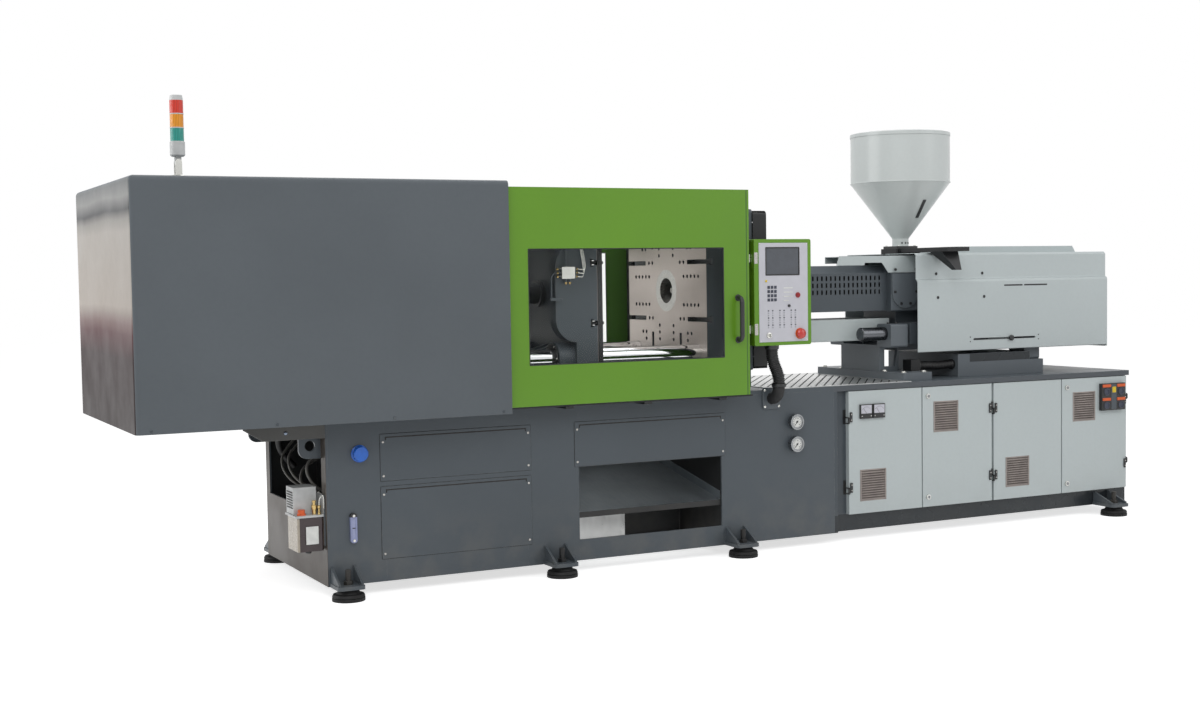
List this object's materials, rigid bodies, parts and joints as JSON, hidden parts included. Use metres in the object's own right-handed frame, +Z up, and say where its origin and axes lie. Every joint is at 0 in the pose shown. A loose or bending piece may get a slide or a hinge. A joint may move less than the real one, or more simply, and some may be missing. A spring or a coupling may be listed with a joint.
{
  "type": "injection moulding machine",
  "caption": "Horizontal plastic injection moulding machine: toggle clamp under a cover, sliding guard doors, swinging control panel, injection unit with hopper, cabinet in the base",
  "frame": {"origin": "on the floor under the middle of the machine", "axes": "+X along the machine from the clamp end to the injection end, +Y away from the operator, +Z up"},
  "size_m": [5.41, 1.296, 2.1086],
  "materials": {
    "slate_paint": "satin powder coat",
    "green_paint": "satin paint",
    "white_paint": "satin paint",
    "black_paint": "satin paint",
    "cast_metal": "machined casting",
    "dark_casting": "painted casting",
    "steel": "machined",
    "chrome": "hard chrome, polished",
    "bright_sheet": "brushed sheet",
    "brass": "machined",
    "grey_plastic": "moulded",
    "black_plastic": "moulded",
    "red_plastic": "moulded",
    "blue_plastic": "moulded",
    "white_plastic": "moulded",
    "hose_plastic": "corrugated",
    "clear_pane": "clear sheet"
  },
  "bodies": {
    "frame": {"clamp_base": "slate_paint", "injection_base": "slate_paint", "deck_cover": "bright_sheet", "feet": "slate_paint", "access_panels": "slate_paint", "discharge_tray": "slate_paint", "gauges": "steel", "lubricator": "grey_plastic", "fixed_platen": "cast_metal", "tie_bars": "chrome", "platen_rear_guard": "black_paint", "clamp_cover": "slate_paint", "door_frame": "black_paint", "conduit": "hose_plastic", "conduit_elbow": "black_plastic", "tower_foot": "black_plastic", "injection_stand": "slate_paint", "unit_guide_rods": "chrome", "nozzle_cylinders": "white_paint", "stand_hose": "hose_plastic"},
    "filler_cap": {"filler_cap": "blue_plastic"},
    "end_platen": {"end_platen": "slate_paint", "adjusting_nuts": "steel", "clamp_cylinder": "dark_casting", "end_platen_pins": "steel"},
    "crosshead": {"crosshead": "steel"},
    "rear_link_upper": {"rear_link_upper": "cast_metal"},
    "rear_link_lower": {"rear_link_lower": "cast_metal"},
    "front_links_upper": {"front_links_upper": "cast_metal"},
    "front_links_lower": {"front_links_lower": "cast_metal"},
    "crosshead_links_upper": {"crosshead_links_upper": "steel"},
    "crosshead_links_lower": {"crosshead_links_lower": "steel"},
    "moving_platen": {"moving_platen": "slate_paint", "moving_platen_pins": "steel", "platen_bushes": "brass", "ejector_cylinder": "dark_casting", "lubrication_manifold": "steel"},
    "ejector": {"ejector_rod": "steel"},
    "front_door": {"front_door": "green_paint", "front_door_pane": "clear_pane"},
    "rear_door": {"rear_door": "green_paint", "rear_door_pane": "clear_pane"},
    "panel": {"panel_housing": "green_paint", "panel_face": "white_plastic"},
    "emergency_stop": {"emergency_stop": "red_plastic"},
    "signal_tower": {"signal_tower": "grey_plastic"},
    "carriage": {"carriage": "slate_paint", "barrel": "steel", "barrel_cover": "slate_paint", "feed_hood": "white_paint", "injection_cover": "white_paint", "hopper_track": "black_paint"},
    "screw_drive": {"screw_drive": "dark_casting"},
    "screw": {"screw": "steel"},
    "hopper": {"hopper": "white_paint"},
    "hopper_lid": {"hopper_lid": "white_paint"},
    "cabinet_door_1": {"cabinet_door_1": "white_paint"},
    "cabinet_door_2": {"cabinet_door_2": "white_paint"},
    "cabinet_door_3": {"cabinet_door_3": "white_paint"},
    "cabinet_door_4": {"cabinet_door_4": "white_paint"}
  },
  "joints": [
    {"name": "filler_cap_turn", "type": "hinge", "parent": "frame", "child": "filler_cap", "pos_m": [-1.748, -0.48, 0.61], "axis": [0, -1, 0], "range_deg": [0, 90]},
    {"name": "die_height", "type": "slide", "parent": "frame", "child": "end_platen", "axis": [1, 0, 0], "range_m": [-0.35, 0]},
    {"name": "clamp_stroke", "type": "slide", "parent": "end_platen", "child": "moving_platen", "axis": [1, 0, 0], "range_m": [0, 0.408]},
    {"name": "crosshead_stroke", "type": "slide", "parent": "end_platen", "child": "crosshead", "axis": [1, 0, 0], "range_m": [0, 0.2987]},
    {"name": "rear_link_upper_swing", "type": "hinge", "parent": "end_platen", "child": "rear_link_upper", "pos_m": [-1.077, 0, 1.6025], "axis": [0, -1, 0], "range_deg": [0, 97.6]},
    {"name": "rear_link_lower_swing", "type": "hinge", "parent": "end_platen", "child": "rear_link_lower", "pos_m": [-1.077, 0, 0.9425], "axis": [0, 1, 0], "range_deg": [0, 97.6]},
    {"name": "front_links_upper_swing", "type": "hinge", "parent": "moving_platen", "child": "front_links_upper", "pos_m": [-0.815, 0, 1.6025], "axis": [0, 1, 0], "range_deg": [0, 42.11]},
    {"name": "front_links_lower_swing", "type": "hinge", "parent": "moving_platen", "child": "front_links_lower", "pos_m": [-0.815, 0, 0.9425], "axis": [0, -1, 0], "range_deg": [0, 42.11]},
    {"name": "crosshead_links_upper_swing", "type": "hinge", "parent": "crosshead", "child": "crosshead_links_upper", "pos_m": [-1.27429, 0, 1.3925], "axis": [0, -1, 0], "range_deg": [0, 39.21]},
    {"name": "crosshead_links_lower_swing", "type": "hinge", "parent": "crosshead", "child": "crosshead_links_lower", "pos_m": [-1.27429, 0, 1.1525], "axis": [0, 1, 0], "range_deg": [0, 39.21]},
    {"name": "ejector_stroke", "type": "slide", "parent": "moving_platen", "child": "ejector", "axis": [1, 0, 0], "range_m": [0, 0.12]},
    {"name": "front_door_slide", "type": "slide", "parent": "frame", "child": "front_door", "axis": [-1, 0, 0], "range_m": [0, 1.1]},
    {"name": "rear_door_slide", "type": "slide", "parent": "frame", "child": "rear_door", "axis": [-1, 0, 0], "range_m": [0, 1.1]},
    {"name": "panel_swing", "type": "hinge", "parent": "frame", "child": "panel", "pos_m": [0.185, -0.532, 1.26], "axis": [0, 0, -1], "range_deg": [0, 30], "deforming": ["conduit"]},
    {"name": "emergency_stop_push", "type": "slide", "parent": "panel", "child": "emergency_stop", "axis": [0, 1, 0], "range_m": [0, 0.006], "stiffness_N_per_m": 400},
    {"name": "tower_fold", "type": "hinge", "parent": "frame", "child": "signal_tower", "pos_m": [-2.465, -0.42, 1.836], "axis": [0, 1, 0], "range_deg": [0, 90]},
    {"name": "carriage_stroke", "type": "slide", "parent": "frame", "child": "carriage", "axis": [1, 0, 0], "range_m": [0, 0.3]},
    {"name": "injection_stroke", "type": "slide", "parent": "carriage", "child": "screw_drive", "axis": [1, 0, 0], "range_m": [0, 0.23]},
    {"name": "screw_spin", "type": "hinge", "parent": "screw_drive", "child": "screw", "pos_m": [1.095, 0, 1.2725], "axis": [1, 0, 0], "continuous": true},
    {"name": "hopper_slide", "type": "slide", "parent": "carriage", "child": "hopper", "axis": [0, -1, 0], "range_m": [0, 0.36]},
    {"name": "hopper_lid_hinge", "type": "hinge", "parent": "hopper", "child": "hopper_lid", "pos_m": [1.5, 0.274, 2.0763], "axis": [-1, 0, 0], "range_deg": [0, 100]},
    {"name": "cabinet_door_1_hinge", "type": "hinge", "parent": "frame", "child": "cabinet_door_1", "pos_m": [0.806, -0.4725, 0.45], "axis": [0, 0, -1], "range_deg": [0, 90]},
    {"name": "cabinet_door_2_hinge", "type": "hinge", "parent": "frame", "child": "cabinet_door_2", "pos_m": [1.729, -0.4725, 0.45], "axis": [0, 0, 1], "range_deg": [0, 90]},
    {"name": "cabinet_door_3_hinge", "type": "hinge", "parent": "frame", "child": "cabinet_door_3", "pos_m": [1.741, -0.4725, 0.45], "axis": [0, 0, -1], "range_deg": [0, 90]},
    {"name": "cabinet_door_4_hinge", "type": "hinge", "parent": "frame", "child": "cabinet_door_4", "pos_m": [2.689, -0.4725, 0.45], "axis": [0, 0, 1], "range_deg": [0, 90]}
  ],
  "couplings": [
    {"joint": "crosshead_stroke", "follows": "clamp_stroke", "ratio": 0.73076},
    {"joint": "rear_link_upper_swing", "follows": "clamp_stroke", "rad_per_m": 4.1706},
    {"joint": "rear_link_lower_swing", "follows": "clamp_stroke", "rad_per_m": 4.1706},
    {"joint": "front_links_upper_swing", "follows": "clamp_stroke", "rad_per_m": 1.797},
    {"joint": "front_links_lower_swing", "follows": "clamp_stroke", "rad_per_m": 1.797},
    {"joint": "crosshead_links_upper_swing", "follows": "clamp_stroke", "rad_per_m": 1.6732},
    {"joint": "crosshead_links_lower_swing", "follows": "clamp_stroke", "rad_per_m": 1.6732}
  ]
}
